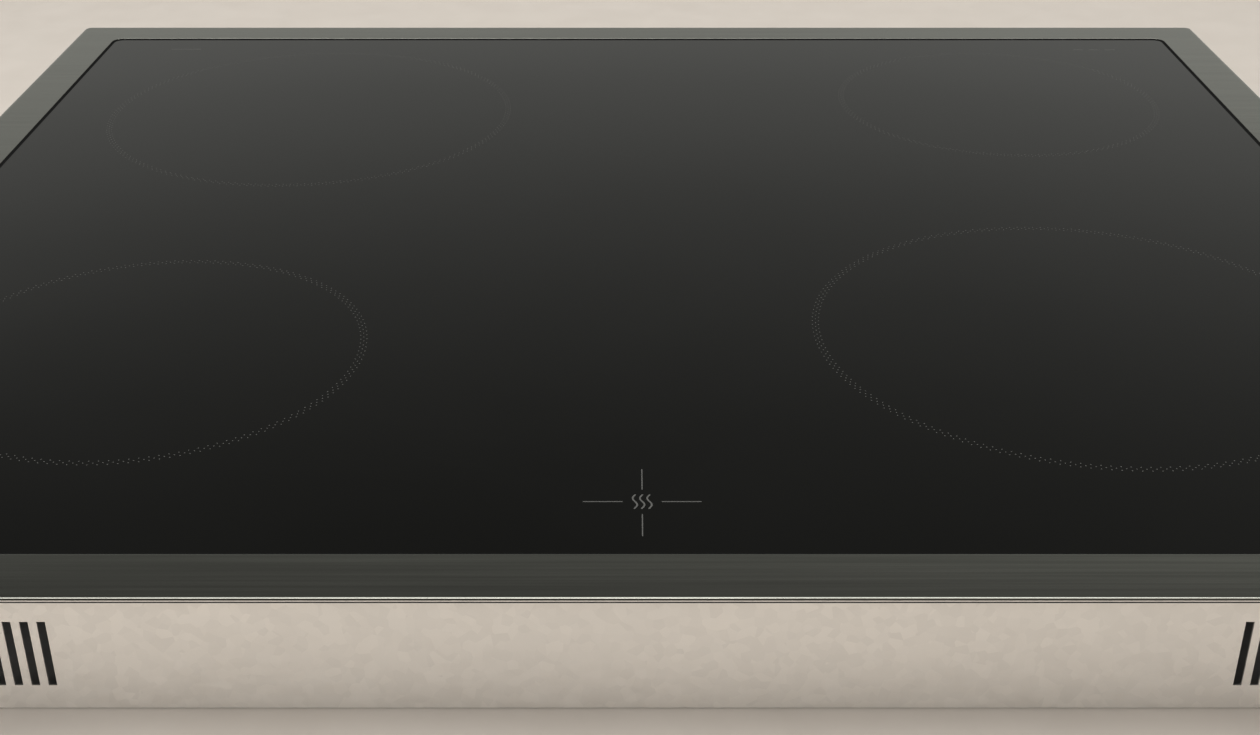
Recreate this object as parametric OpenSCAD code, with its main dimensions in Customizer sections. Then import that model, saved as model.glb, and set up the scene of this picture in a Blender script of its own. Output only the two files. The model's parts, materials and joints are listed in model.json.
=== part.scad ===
// Drop-in induction hob, 60 cm class, with a flat stainless-steel trim frame.
// Origin: centre of the hob on the plane of the worktop. X to the right, Y to the back, Z up. Millimetres.

/* [Trim frame] */
// Overall width of the trim frame
overall_w = 584; // [580:1:590]
// Overall depth of the trim frame
overall_d = 514; // [510:1:520]
// Width of the flat steel band, all round
band_w = 20; // [18:0.5:21]
// Sheet thickness of the trim frame
trim_t = 0.7; // [0.6:0.1:0.8]
// Height of the band's top above the worktop
trim_h = 1.8; // [1.8:0.1:2.4]

/* [Glass] */
// Thickness of the glass-ceramic plate
glass_t = 4; // [3:0.5:4]
// How far the steel band stands above the glass
glass_drop = 0.5; // [0.3:0.1:0.6]
// Width of the sealed joint round the glass
joint_w = 1; // [0.8:0.1:1.2]
// Corner radius of the glass
glass_r = 4.5; // [3:0.5:6]

/* [Cooking zones] */
// Radius of the two large zones' printed ring
large_r = 90; // [80:1:92]
// Radius of the two small zones' printed ring
small_r = 72.5; // [60:0.5:75]
// Width of a printed ring
ring_w = 3; // [2:0.5:4]

/* [Housing] */
// Width of the bottom tray
tray_w = 546; // [540:1:546]
// Depth of the bottom tray
tray_d = 476; // [470:1:476]
// Depth of the tray below the worktop plane
tray_h = 50; // [48:1:54]
// Sheet thickness of the tray
tray_t = 0.7; // [0.6:0.1:0.9]

/* [Clamps] */
// Distance of the clamp pockets from the middle, front to back
clamp_y = 110; // [105:1:112]
// Reach of a clamp arm from its screw
arm_len = 33; // [30:1:34]
// Rise of a clamp arm's nut per turn of its screw
screw_pitch = 0.8; // [0.7:0.1:1]

/* [Fans] */
// Radius of a fan rotor
rotor_r = 38; // [34:1:39]
// Number of blades on a rotor
blades = 22; // [16:1:26]

/* [Hidden] */
$fn = 64;
e = 0.01;
glass_w = overall_w - 2 * band_w - 2 * joint_w;
glass_d = overall_d - 2 * band_w - 2 * joint_w;
open_w = overall_w - 2 * band_w;
open_d = overall_d - 2 * band_w;
open_r = glass_r + joint_w;
glass_top = trim_h - glass_drop;
glass_bot = glass_top - glass_t;
ledge_top = glass_bot - 0.3;
ledge_bot = ledge_top - trim_t;
print_t = 0.05;
// name, x, y, ring radius, winding outer radius, winding inner radius, turns, ferrite bars, first tab angle
ZONES = [
    ["front_left", -166.5, -116, small_r, 68, 20, 12, 6, 90],
    ["front_right", 149.5, -102, large_r, 86, 22, 16, 8, 90],
    ["rear_left", -150.5, 123, large_r, 86, 22, 16, 8, 30],
    ["rear_right", 167.5, 140, small_r, 68, 20, 12, 6, 30]
];
sign_x = -0.8;
sign_y = -209.7;
floor_z = -tray_h;
in_z = floor_z + tray_t;
pocket_l = 56;
pocket_d = 22;
pocket_top = -12;
screw_x = tray_w / 2 - 11;
screw_y = clamp_y + 13;
fan_x = 199;
fan_y = 148;
term_x0 = 30;
term_x1 = 138;
term_y = 200;
hinge_y = 240.4;
hinge_z = -46.9;
post_xy = [[241, -188], [241, 205], [16, -160], [16, 195]];
// side: +1 right, -1 left; then -1 front, +1 back
CLAMPS = [[-1, -1], [1, -1], [-1, 1], [1, 1]];

// ---- shared shapes ----

// A block from z0 to z1 with rounded upright corners, centred on the origin
module slab(w, d, r, z0, z1) {
    translate([0, 0, z0]) {
        translate([-w / 2 + r, -d / 2, 0]) cube([w - 2 * r, d, z1 - z0]);
        translate([-w / 2, -d / 2 + r, 0]) cube([w, d - 2 * r, z1 - z0]);
        for (sx = [-1, 1], sy = [-1, 1])
            translate([sx * (w / 2 - r), sy * (d / 2 - r), 0]) cylinder(r = r, h = z1 - z0);
    }
}

// A rectangular ring between two rounded outlines
module ring(w, d, r, wi, di, ri, z0, z1) {
    difference() {
        slab(w, d, r, z0, z1);
        slab(wi, di, ri, z0 - 1, z1 + 1);
    }
}

// Cuts a 45-degree chamfer along the top outer edge of a slab
module top_chamfer(w, d, r, z, c) {
    module tri() { polygon([[-c - 1, 1], [1, 1], [1, -c - 1]]); }
    for (s = [0, 180]) rotate([0, 0, s]) {
        translate([w / 2, d / 2 - r, z]) rotate([90, 0, 0]) linear_extrude(d - 2 * r) tri();
        rotate([0, 0, 90]) translate([d / 2, w / 2 - r, z]) rotate([90, 0, 0]) linear_extrude(w - 2 * r) tri();
    }
    for (a = [0, 90, 180, 270])
        rotate([0, 0, a]) translate([((a % 180 == 0) ? w : d) / 2 - r, ((a % 180 == 0) ? d : w) / 2 - r, z])
            rotate_extrude(angle = 90) translate([r, 0]) tri();
}

module tube(ro, ri, z0, z1) {
    translate([0, 0, z0]) difference() {
        cylinder(r = ro, h = z1 - z0);
        translate([0, 0, -1]) cylinder(r = ri, h = z1 - z0 + 2);
    }
}

module box(x0, y0, z0, x1, y1, z1) { translate([x0, y0, z0]) cube([x1 - x0, y1 - y0, z1 - z0]); }

// Mirrors a part drawn for the right-hand side
module side(s) { if (s > 0) children(); else mirror([1, 0, 0]) children(); }

// ---- top ----

module wave_lines(z0, h) {
    R = 3.16;
    for (dx = [-2.1, 0, 2.1]) translate([sign_x + dx, sign_y, z0]) {
        translate([2.58, 1.825, 0]) rotate([0, 0, 180 - 35.3]) rotate_extrude(angle = 70.6) translate([R - 0.28, 0]) square([0.56, h]);
        translate([-2.58, -1.825, 0]) rotate([0, 0, -35.3]) rotate_extrude(angle = 70.6) translate([R - 0.28, 0]) square([0.56, h]);
    }
}

// Four bars of the cross round the heat symbol
module cross_bars(grow, z0, z1) {
    w = 0.2 + grow;
    for (s = [-1, 1]) {
        translate([sign_x + s * 11.25, sign_y, 0]) box(-5.5 - grow, -w, z0, 5.5 + grow, w, z1);
        translate([sign_x, sign_y + s * 12.1, 0]) box(-w, -5.5 - grow, z0, w, 5.5 + grow, z1);
    }
}

// Two plain bars near the back corners
module rear_bars(grow, z0, z1) {
    translate([-231, 220, 0]) box(-7.5 - grow, -0.4 - grow, z0, 7.5 + grow, 0.4 + grow, z1);
    translate([232, 219, 0]) for (dx = [-8, 0, 8]) box(dx - 3 - grow, -0.4 - grow, z0, dx + 3 + grow, 0.4 + grow, z1);
}

module glass_plate() {
    color([0.03, 0.03, 0.03]) difference() {
        slab(glass_w, glass_d, glass_r, glass_bot, glass_top);
        top_chamfer(glass_w, glass_d, glass_r, glass_top, 0.3);
        for (q = ZONES) translate([q[1], q[2], 0])
            tube(q[3] + ring_w / 2 + 0.03, q[3] - ring_w / 2 - 0.03, glass_top - print_t - e, glass_top + 1);
        cross_bars(0.03, glass_top - print_t - e, glass_top + 1);
        rear_bars(0.03, glass_top - print_t - e, glass_top + 1);
        box(sign_x - 4, sign_y - 4.5, glass_top - print_t - e, sign_x + 4, sign_y + 4.5, glass_top + 1);
    }
}

module glass_seal() {
    color([0.02, 0.02, 0.02]) {
        ring(open_w - 0.1, open_d - 0.1, open_r - 0.05, glass_w + 0.1, glass_d + 0.1, glass_r + 0.05, glass_bot - 0.28, glass_top - 0.05);
        ring(open_w - 0.1, open_d - 0.1, open_r - 0.05, open_w - 15, open_d - 15, 3, glass_bot - 0.28, glass_bot - 0.02);
    }
}

module trim_frame() {
    color([0.62, 0.62, 0.6]) {
        difference() {
            ring(overall_w, overall_d, 3, open_w, open_d, open_r, trim_h - trim_t, trim_h);
            top_chamfer(overall_w, overall_d, 3, trim_h, 0.35);
        }
        ring(open_w + 2 * trim_t, open_d + 2 * trim_t, open_r + trim_t, open_w, open_d, open_r, ledge_bot, trim_h - trim_t + e);
        ring(open_w + 2 * trim_t, open_d + 2 * trim_t, open_r + trim_t, open_w - 16, open_d - 16, 3, ledge_bot, ledge_top);
    }
}

module trim_adhesive() {
    color([0.03, 0.03, 0.03])
        ring(overall_w - 1, overall_d - 1, 2.5, tray_w + 2.4, tray_d + 2.4, 8, trim_h - trim_t - 0.26, trim_h - trim_t - 0.02);
}

module carrier_frame() {
    top = trim_h - trim_t - 0.28;
    color([0.6, 0.61, 0.62]) difference() {
        union() {
            ring(overall_w - 0.8, overall_d - 0.8, 2.6, tray_w + 0.4, tray_d + 0.4, 6.7, top - 0.4, top);
            ring(tray_w + 1.6, tray_d + 1.6, 7.3, tray_w + 0.4, tray_d + 0.4, 6.7, -12, top - 0.4 + e);
        }
        for (s = [-1, 1], y = [-150, 0, 150]) translate([s * tray_w / 2, y, -7.5]) rotate([0, 90, 0]) cylinder(r = 1.8, h = 6, center = true);
    }
}

module worktop_gasket() {
    color([0.08, 0.08, 0.08]) ring(overall_w - 1.4, overall_d - 1.4, 2.3, tray_w + 8, tray_d + 8, 6, 0, trim_h - trim_t - 0.7);
}

module zone_print() {
    color([0.45, 0.45, 0.45]) for (q = ZONES) translate([q[1], q[2], 0])
        tube(q[3] + ring_w / 2, q[3] - ring_w / 2, glass_top - print_t, glass_top);
}

module symbol_print() {
    color([0.6, 0.6, 0.6]) {
        cross_bars(0, glass_top - print_t, glass_top);
        wave_lines(glass_top - print_t, print_t);
        rear_bars(0, glass_top - print_t, glass_top);
    }
}

// ---- induction coils ----

// Flat spiral of litz wire from inner radius r0 to outer radius r1
module winding(r0, r1, turns) {
    n = 24;
    pitch = (r1 - r0) / (turns + 0.85);
    w = pitch * 0.85;
    outer = [for (i = [0:turns * n]) let (a = 360 * i / n, r = r0 + pitch * i / n) [(r + w) * cos(a), (r + w) * sin(a)]];
    inner = [for (i = [turns * n:-1:0]) let (a = 360 * i / n, r = r0 + pitch * i / n) [r * cos(a), r * sin(a)]];
    linear_extrude(4) polygon(concat(outer, inner));
}

module coil_winding(i) {
    q = ZONES[i];
    color([0.72, 0.4, 0.2]) translate([q[1], q[2], -7.5]) winding(q[5], q[4], q[6]);
}

module coil_former(i) {
    q = ZONES[i];
    ro = q[4] + 3;
    color([0.75, 0.73, 0.66]) translate([q[1], q[2], 0]) difference() {
        union() {
            tube(ro, 15, -9.1, -7.6);
            tube(q[5] - 1, 15, -9.1, -3.6);
            tube(ro, ro - 1.6, -9.1, -4.6);
            for (k = [0:2]) rotate([0, 0, q[8] + 120 * k]) {
                translate([ro - 1, -6, -13]) cube([11, 12, 5.4]);
            }
        }
        for (k = [0:2]) rotate([0, 0, q[8] + 120 * k]) translate([ro + 5, 0, -14]) cylinder(r = 2, h = 8);
        for (k = [0:5]) rotate([0, 0, q[8] + 30 + 60 * k]) translate([ro * 0.55, 0, -10]) cylinder(r = 4, h = 3);
    }
}

module ferrite_bars() {
    color([0.16, 0.16, 0.17]) for (q = ZONES) translate([q[1], q[2], 0])
        for (k = [0:q[7] - 1]) rotate([0, 0, q[8] + (k + 0.5) * 360 / q[7]])
            box(q[5] + 5, -6, -13, q[4] - 1, 6, -9.2);
}

module mica_sheets() {
    color([0.82, 0.78, 0.68]) for (q = ZONES) translate([q[1], q[2], 0]) tube(q[4] + 3, 7, -3.35, -2.85);
}

module temperature_sensors() {
    color([0.9, 0.88, 0.82]) for (q = ZONES) translate([q[1], q[2], 0]) {
        translate([0, 0, -13.1]) cylinder(r = 12, h = 1.5);
        translate([0, 0, -11.7]) cylinder(r = 4.5, h = 7.6);
        translate([0, 0, -4.2]) cylinder(r = 6, h = 1.4);
    }
}

module coil_rivets() {
    color([0.82, 0.82, 0.84]) for (q = ZONES) translate([q[1], q[2], 0]) for (k = [0:2]) rotate([0, 0, q[8] + 120 * k])
        translate([q[4] + 8, 0, -15.8]) {
            cylinder(r = 1.8, h = 8.3);
            cylinder(r = 3.2, h = 1);
            translate([0, 0, 8.2]) cylinder(r = 3.4, h = 1.1);
        }
}

module coil_plate(s) {
    color([0.78, 0.79, 0.8]) difference() {
        union() {
            side(s) box(4, -196.5, -14.6, 249, 218, -13.2);
            side(s) box(4, -196.5, -20, 5.2, 218, -13.3);
            side(s) box(247.8, -196.5, -20, 249, 218, -13.3);
        }
        for (q = ZONES) if (sign(q[1]) == s) translate([q[1], q[2], -16]) {
            cylinder(r = 8, h = 4);
            for (k = [0:2]) rotate([0, 0, q[8] + 120 * k]) translate([q[4] + 8, 0, 0]) cylinder(r = 2, h = 4);
            rotate([0, 0, q[8] + 60]) translate([q[4] + 10, -9, 0]) cube([8, 18, 4]);
        }
        side(s) for (y = [-20, 0, 20]) translate([40, y, -16]) cylinder(r = 6, h = 4);
    }
}

module plate_posts() {
    color([0.9, 0.9, 0.86]) {
        for (s = [-1, 1], p = post_xy) translate([s * p[0], p[1], 0]) {
            translate([0, 0, in_z]) cylinder(r = 4, h = -27 - in_z);
            translate([0, 0, -27.5]) cylinder(r = 2.2, h = 11);
        }
        for (s = [-1, 1], x = [110, 238], y = [-173, 85]) translate([s * x, y, in_z]) cylinder(r = 3.5, h = -44.05 - in_z);
    }
}

// Compression spring swept along a helix: ring radius r, wire radius w, height h
module spring(r, w, h, turns, n, m) {
    rings = turns * n;
    pts = [for (i = [0:rings]) let (a = 360 * i / n, z = w + (h - 2 * w) * i / rings)
        for (j = [0:m - 1]) let (b = 360 * j / m) [(r + w * cos(b)) * cos(a), (r + w * cos(b)) * sin(a), z + w * sin(b)]];
    sides = [for (i = [0:rings - 1], j = [0:m - 1]) let (k = (j + 1) % m)
        each [[i * m + j, (i + 1) * m + k, i * m + k], [i * m + j, (i + 1) * m + j, (i + 1) * m + k]]];
    first = [for (j = [1:m - 2]) [0, j, j + 1]];
    last = [for (j = [1:m - 2]) [rings * m, rings * m + j + 1, rings * m + j]];
    polyhedron(points = pts, faces = concat(sides, first, last));
}

module plate_springs() {
    color([0.7, 0.7, 0.72]) for (s = [-1, 1], p = post_xy) translate([s * p[0], p[1], -26.8]) spring(3.3, 0.4, 12.1, 5, 10, 5);
}

// ---- power electronics ----

module power_board(s) {
    color([0.12, 0.34, 0.2]) side(s) difference() {
        box(104, -180, -44, 244, 92, -42.4);
        for (y = [-120, -60, 0, 60]) translate([156, y, -45]) cylinder(r = 2.5, h = 4);
    }
}

module heatsink(s) {
    color([0.75, 0.76, 0.77]) side(s) {
        box(169, -65, -42.3, 229, 85, -38.2);
        for (i = [0:10]) box(169 + i * 5.85, -65, -38.3, 170.5 + i * 5.85, 85, -20);
    }
}

module power_transistors() {
    color([0.1, 0.1, 0.1]) for (s = [-1, 1]) side(s)
        for (y = [-45, -15, 15, 45]) box(164.2, y - 8, -41, 168.9, y + 8, -21);
}

module film_capacitors() {
    color([0.75, 0.7, 0.2]) for (s = [-1, 1]) side(s) {
        for (y = [-135, 25, 50]) box(116, y - 9, -42.3, 148, y + 9, -20.5);
        for (y = [-60, -25]) translate([122, y, -42.3]) cylinder(r = 9, h = 20);
    }
}

module filter_chokes() {
    color([0.7, 0.38, 0.18]) for (s = [-1, 1]) side(s)
        for (y = [-102]) translate([132, y, -35]) rotate_extrude() translate([12, 0]) circle(r = 5.5);
}

// ---- cooling ----

module fan_housing(s) {
    color([0.1, 0.1, 0.11]) translate([s * fan_x, fan_y, 0]) difference() {
        union() {
            difference() {
                box(-47, -47, -48.6, 47, 47, -22.6);
                translate([0, 0, -47.1]) cylinder(r = 42, h = 23);
                box(-34, -48, -46.5, 34, 0, -24.1);
                translate([0, 0, -49]) cylinder(r = 30, h = 3);
                for (x = [-42.5, 42.5], y = [-42.5, 42.5]) translate([x, y, -49]) cylinder(r = 2, h = 30);
            }
            translate([0, 0, -27.2]) cylinder(r = 12, h = 4);
        }
        translate([0, 0, -28]) cylinder(r = 1.56, h = 3.5);
    }
}

module fan_rotor(s) {
    color([0.2, 0.2, 0.22]) translate([s * fan_x, fan_y, 0]) difference() {
        union() {
            translate([0, 0, -28.9]) cylinder(r = rotor_r, h = 1.2);
            translate([0, 0, -44]) cylinder(r = 15, h = 15.2);
            tube(rotor_r, rotor_r - 2.2, -45.8, -44.6);
            for (k = [0:blades - 1]) rotate([0, 0, k * 360 / blades]) translate([rotor_r - 1.6, 0, -45]) rotate([0, 0, 28])
                translate([-9, -0.6, 0]) cube([9.6, 1.2, 16.2]);
        }
        translate([0, 0, -45]) cylinder(r = 1.5, h = 18);
        translate([0, 0, -46.5]) difference() { cylinder(r = rotor_r + 4, h = 20); translate([0, 0, -1]) cylinder(r = rotor_r + e, h = 22); }
    }
}

module fan_shafts() { color([0.75, 0.75, 0.77]) for (s = [-1, 1]) translate([s * fan_x, fan_y, -43.8]) cylinder(r = 1.48, h = 19); }

module air_duct(s) {
    color([0.14, 0.14, 0.15]) side(s) difference() {
        box(162, -193, -42.3, 236, 100.6, -16.8);
        box(163.5, -194, -43, 234.5, 102, -18.3);
    }
}

// ---- controls ----

module control_housing() {
    color([0.12, 0.12, 0.13]) {
        difference() {
            box(-95, -228, -16, 95, -199, -4.2);
            box(-93.5, -226.5, -14.5, 93.5, -200.5, -3);
            for (x = [-80, 80]) translate([x, -213.5, -17]) cylinder(r = 1.5, h = 4);
        }
        for (x = [-80, 80]) difference() {
            box(x - 5, -218.5, in_z, x + 5, -208.5, -15.9);
            translate([x, -213.5, -30]) cylinder(r = 1.5, h = 20);
        }
        for (x = [-60, 0, 60]) box(x - 2, -226, -14.6, x + 2, -201, -9.1);
    }
}

module control_board() { color([0.1, 0.3, 0.22]) box(-92.5, -225.8, -9, 92.5, -201.2, -7.4); }

module touch_pads() {
    color([0.25, 0.25, 0.26]) for (x = [-72, -48, -24, 0, 24, 48, 72]) translate([x, -212, -7.3]) cylinder(r = 5, h = 4.4);
}

module display_modules() {
    color([0.85, 0.85, 0.82]) for (x = [-60, -36, 36, 60]) box(x - 6, -223.5, -7.3, x + 6, -218, -3.2);
}

// ---- housing ----

// Space for a worktop clamp in each end of the tray's side walls
module pocket(grow, low, top) {
    for (c = CLAMPS) side(c[0]) translate([0, c[1] * clamp_y, 0])
        box(tray_w / 2 - pocket_d - grow, -pocket_l / 2 - grow, low, tray_w / 2 + 1, pocket_l / 2 + grow, top);
}

module bottom_tray() {
    color([0.66, 0.67, 0.68]) difference() {
        union() {
            difference() {
                slab(tray_w, tray_d, 6.5, floor_z, ledge_bot - 0.1);
                difference() {
                    slab(tray_w - 2 * tray_t, tray_d - 2 * tray_t, 5.8, in_z, ledge_bot - 0.1 - tray_t);
                    pocket(tray_t, floor_z - 1, pocket_top + tray_t);
                }
                slab(tray_w - 17, tray_d - 17, 4, -5.6, 5);
                pocket(0, floor_z - 1, pocket_top);
            }
            for (c = CLAMPS) translate([c[0] * screw_x, c[1] * screw_y, pocket_top]) cylinder(r = 5, h = 6);
        }
        for (c = CLAMPS) translate([c[0] * screw_x, c[1] * screw_y, pocket_top - 1]) cylinder(r = 2.55, h = 8);
        for (s = [-1, 1]) {
            // fan intakes
            translate([s * fan_x, fan_y, floor_z - 1]) for (g = [[12, 6], [20, 11], [28, 16]], k = [0:g[1] - 1])
                rotate([0, 0, k * 360 / g[1]]) translate([g[0], 0, 0]) cylinder(r = 2.8, h = 3);
            // exhaust slots in the front wall
            for (i = [0:13]) side(s) box(166 + i * 4.8, -tray_d / 2 - 1, -42, 168.4 + i * 4.8, -tray_d / 2 + 2, -20);
            // side slots
            for (i = [0:7]) side(s) box(tray_w / 2 - 2, -37 + i * 10, -38, tray_w / 2 + 1, -33 + i * 10, -24);
            // carrier screws
            for (y = [-150, 0, 150]) translate([s * tray_w / 2, y, -7.5]) rotate([0, 90, 0]) cylinder(r = 1.4, h = 6, center = true);
        }
        // window and cable hole for the mains terminals
        box(term_x0 + 1, tray_d / 2 - 2, -48.6, term_x0 + 82.8, tray_d / 2 + 1, -15);
        translate([term_x0 + 95, tray_d / 2 - 3, -30]) rotate([-90, 0, 0]) cylinder(r = 10.2, h = 5);
    }
}

module tray_screws() {
    color([0.7, 0.7, 0.72]) for (s = [-1, 1], y = [-150, 0, 150]) translate([s * (tray_w / 2 + 0.85), y, -7.5]) rotate([0, s * 90, 0]) {
        cylinder(r1 = 3.2, r2 = 2.4, h = 1.8);
        translate([0, 0, -6]) cylinder(r = 1.35, h = 6.1);
    }
}

// ---- mains terminals ----

module terminal_box() {
    color([0.15, 0.15, 0.16]) {
        difference() {
            union() {
                box(term_x0, term_y, -48.4, term_x1, tray_d / 2 - 0.9, -14.9);
                translate([term_x0 + 95, 229, -30]) rotate([-90, 0, 0]) cylinder(r = 10, h = 12.5);
            }
            box(term_x0 + 2, term_y + 2, -46.4, term_x0 + 82, tray_d / 2 + 2, -16.9);
            box(term_x0 + 81, term_y + 2, -46.4, term_x1 - 2, 233, -16.9);
            translate([term_x0 + 95, 220, -30]) rotate([-90, 0, 0]) cylinder(r = 7.5, h = 24);
        }
        // hinge lugs and pin
        for (x = [term_x0 + 2.2, term_x0 + 78.8]) box(x, tray_d / 2 - 1.5, -48.4, x + 3, hinge_y + 1.4, -45.5);
        translate([term_x0 + 2.2, hinge_y, hinge_z]) rotate([0, 90, 0]) cylinder(r = 1, h = 79.6);
    }
}

module terminal_block() {
    x0 = term_x0 + 10;
    color([0.88, 0.88, 0.84]) difference() {
        box(x0, 202.2, -38, x0 + 66, 220, -24);
        for (k = [0:5]) {
            translate([x0 + 6 + k * 10.8, 214, -34]) cylinder(r = 2.6, h = 12);
            translate([x0 + 6 + k * 10.8, 210, -31]) rotate([-90, 0, 0]) cylinder(r = 2.2, h = 12);
        }
    }
    color([0.8, 0.68, 0.35]) for (k = [0:5]) translate([x0 + 6 + k * 10.8, 214, -33.5]) cylinder(r = 2.4, h = 6);
}

module terminal_cover() {
    color([0.13, 0.13, 0.14]) difference() {
        union() {
            box(term_x0 - 0.4, tray_d / 2 + 0.3, -44.6, term_x0 + 82.6, tray_d / 2 + 2.3, -13.4);
            for (dx = [14, 41, 68]) {
                translate([term_x0 + dx - 4, hinge_y, hinge_z]) rotate([0, 90, 0]) cylinder(r = 2.1, h = 8);
                box(term_x0 + dx - 4, tray_d / 2 + 0.5, -46.8, term_x0 + dx + 4, tray_d / 2 + 2.3, -44.5);
            }
            for (dx = [16, 66]) box(term_x0 + dx - 5, tray_d / 2 + 2.2, -17.5, term_x0 + dx + 5, tray_d / 2 + 3.4, -15.5);
        }
        translate([term_x0 - 6, hinge_y, hinge_z]) rotate([0, 90, 0]) cylinder(r = 1.06, h = 95);
    }
}

module wiring_harness() {
    color([0.7, 0.7, 0.72]) for (s = [-1, 1]) side(s) {
        box(95.2, -209, -12, 104, -198, -11.2);
        box(103.2, -209, -42.2, 104, -198, -11.2);
        box(103.2, -209, -42.2, 115, -198, -41.4);
        box(106, -199, -42.2, 115, -177.9, -41.4);
        box(105.5, -178, -42.3, 115.5, -158, -35);
    }
}

// ---- worktop clamps ----

module clamp_screw(sx, sy) {
    color([0.72, 0.72, 0.74]) translate([sx * screw_x, sy * screw_y, 0]) {
        difference() {
            translate([0, 0, -49.6]) cylinder(r = 4.6, h = 3);
            box(-0.7, -3.4, -50, 0.7, 3.4, -48.2);
            box(-3.4, -0.7, -50, 3.4, 0.7, -48.2);
        }
        translate([0, 0, -46.7]) cylinder(r = 2.5, h = 42);
    }
}

// Hexagonal nut with the round collar that the arm turns on
module clamp_nut(sx, sy) {
    color([0.74, 0.72, 0.62]) translate([sx * screw_x, sy * screw_y, 0]) difference() {
        union() {
            translate([0, 0, -46.3]) cylinder(r = 4.6, h = 2.6, $fn = 6);
            translate([0, 0, -43.8]) cylinder(r = 3.9, h = 3.4);
        }
        translate([0, 0, -47]) cylinder(r = 2.56, h = 8);
    }
}

// At rest the arm lies along its pocket and points at the middle of the hob's side
module clamp_arm(sx, sy) {
    color([0.7, 0.7, 0.72]) translate([sx * screw_x, sy * screw_y, 0]) rotate([0, 0, sy > 0 ? -90 : 90]) difference() {
        union() {
            translate([0, 0, -43.4]) cylinder(r = 7, h = 2.4);
            box(0, -6, -43.4, arm_len - 3, 6, -41);
            box(arm_len - 3.1, -6, -43.4, arm_len, 6, -39.4);
            box(6, -1, -41.1, arm_len - 3, 1, -40);
        }
        translate([0, 0, -44.4]) cylinder(r = 3.96, h = 5);
    }
}

glass_plate();
glass_seal();
trim_frame();
trim_adhesive();
carrier_frame();
worktop_gasket();
zone_print();
symbol_print();
coil_winding(0);  // coil_winding_front_left
coil_winding(1);  // coil_winding_front_right
coil_winding(2);  // coil_winding_rear_left
coil_winding(3);  // coil_winding_rear_right
coil_former(0);  // coil_former_front_left
coil_former(1);  // coil_former_front_right
coil_former(2);  // coil_former_rear_left
coil_former(3);  // coil_former_rear_right
ferrite_bars();
mica_sheets();
temperature_sensors();
coil_rivets();
coil_plate(-1);  // coil_plate_left
coil_plate(1);  // coil_plate_right
plate_posts();
plate_springs();
power_board(-1);  // power_board_left
power_board(1);  // power_board_right
heatsink(-1);  // heatsink_left
heatsink(1);  // heatsink_right
power_transistors();
film_capacitors();
filter_chokes();
fan_housing(-1);  // fan_housing_left
fan_housing(1);  // fan_housing_right
fan_rotor(-1);  // fan_rotor_left
fan_rotor(1);  // fan_rotor_right
fan_shafts();
air_duct(-1);  // air_duct_left
air_duct(1);  // air_duct_right
control_housing();
control_board();
touch_pads();
display_modules();
bottom_tray();
tray_screws();
terminal_box();
terminal_block();
terminal_cover();
wiring_harness();
clamp_screw(-1, -1);  // clamp_screw_front_left
clamp_screw(1, -1);  // clamp_screw_front_right
clamp_screw(-1, 1);  // clamp_screw_rear_left
clamp_screw(1, 1);  // clamp_screw_rear_right
clamp_nut(-1, -1);  // clamp_nut_front_left
clamp_nut(1, -1);  // clamp_nut_front_right
clamp_nut(-1, 1);  // clamp_nut_rear_left
clamp_nut(1, 1);  // clamp_nut_rear_right
clamp_arm(-1, -1);  // clamp_arm_front_left
clamp_arm(1, -1);  // clamp_arm_front_right
clamp_arm(-1, 1);  // clamp_arm_rear_left
clamp_arm(1, 1);  // clamp_arm_rear_right
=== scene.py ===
import json
import math

import bmesh
import bpy
from mathutils import Matrix, Vector

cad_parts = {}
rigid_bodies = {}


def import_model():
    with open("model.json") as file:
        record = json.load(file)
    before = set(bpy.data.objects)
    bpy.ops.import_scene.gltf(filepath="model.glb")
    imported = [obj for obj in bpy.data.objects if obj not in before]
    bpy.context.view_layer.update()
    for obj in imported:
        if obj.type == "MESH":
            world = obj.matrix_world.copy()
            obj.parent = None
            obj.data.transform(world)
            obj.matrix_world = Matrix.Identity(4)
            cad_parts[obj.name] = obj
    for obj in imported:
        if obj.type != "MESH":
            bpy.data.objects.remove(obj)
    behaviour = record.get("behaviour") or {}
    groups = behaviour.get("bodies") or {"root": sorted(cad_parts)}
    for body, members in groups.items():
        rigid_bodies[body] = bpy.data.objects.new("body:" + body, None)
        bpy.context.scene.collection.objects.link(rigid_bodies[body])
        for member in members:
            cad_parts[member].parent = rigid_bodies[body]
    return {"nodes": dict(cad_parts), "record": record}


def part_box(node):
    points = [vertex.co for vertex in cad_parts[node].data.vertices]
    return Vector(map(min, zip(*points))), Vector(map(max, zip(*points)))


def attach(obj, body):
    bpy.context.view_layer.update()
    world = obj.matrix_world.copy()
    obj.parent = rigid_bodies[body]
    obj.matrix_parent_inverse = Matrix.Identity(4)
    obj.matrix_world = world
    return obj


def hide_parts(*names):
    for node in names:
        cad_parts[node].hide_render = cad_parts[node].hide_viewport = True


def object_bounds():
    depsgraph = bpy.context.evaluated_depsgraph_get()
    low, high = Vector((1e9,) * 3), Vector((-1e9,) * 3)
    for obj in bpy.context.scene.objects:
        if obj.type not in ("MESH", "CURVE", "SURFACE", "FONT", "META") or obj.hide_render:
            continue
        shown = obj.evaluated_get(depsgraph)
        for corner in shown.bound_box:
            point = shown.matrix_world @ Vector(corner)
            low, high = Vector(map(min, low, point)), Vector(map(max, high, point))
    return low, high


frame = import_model()
CAD_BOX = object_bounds()
NODES = frame["nodes"]
MM = 0.001
scene = bpy.context.scene

for o in list(scene.objects):
    if o.name in ("Cube", "Light", "Camera"):
        bpy.data.objects.remove(o)

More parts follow.
